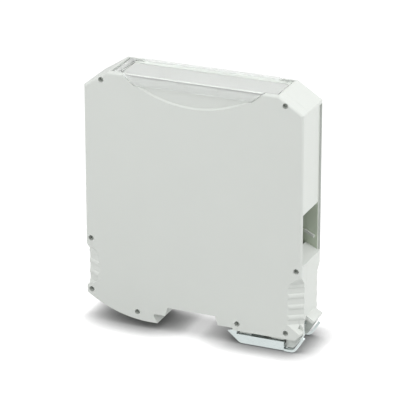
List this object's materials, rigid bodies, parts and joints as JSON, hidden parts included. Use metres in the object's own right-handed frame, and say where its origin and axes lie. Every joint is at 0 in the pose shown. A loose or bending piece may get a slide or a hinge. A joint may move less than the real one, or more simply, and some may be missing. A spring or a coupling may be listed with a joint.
{
  "type": "din rail enclosure",
  "caption": "Slim two-shell housing for a circuit board that clips onto a top-hat rail, with side connector windows, a clear hinged cover and a sprung metal latch.",
  "frame": {"origin": "middle of the rail slot, at mid thickness, on the plane that the rail's lips rest against", "axes": "+Z away from the rail, +X along the wide faces from the fixed hook to the latch, +Y along the rail through the thickness"},
  "size_m": [0.1027, 0.0226, 0.1139],
  "materials": {
    "housing_plastic": "fine matt moulded",
    "clear_plastic": "clear, polished",
    "plate_plastic": "matt",
    "latch_steel": "bright zinc",
    "spring_steel": "drawn wire"
  },
  "bodies": {
    "housing": {"near_shell": "housing_plastic", "far_shell": "housing_plastic", "front_plate": "plate_plastic", "blanking_plate_left": "housing_plastic", "blanking_plate_right": "housing_plastic", "latch_spring": "spring_steel"},
    "cover": {"clear_cover": "clear_plastic"},
    "latch": {"foot_latch": "latch_steel"}
  },
  "joints": [
    {"name": "cover_hinge", "type": "hinge", "parent": "housing", "child": "cover", "pos_m": [-0.0359, 0, 0.1055], "axis": [0, -1, 0], "range_deg": [0, 95]},
    {"name": "latch_slide", "type": "slide", "parent": "housing", "child": "latch", "axis": [1, 0, 0], "range_m": [0, 0.003], "stiffness_N_per_m": 2000, "springref_m": -0.003, "deforming": ["latch_spring"]}
  ]
}
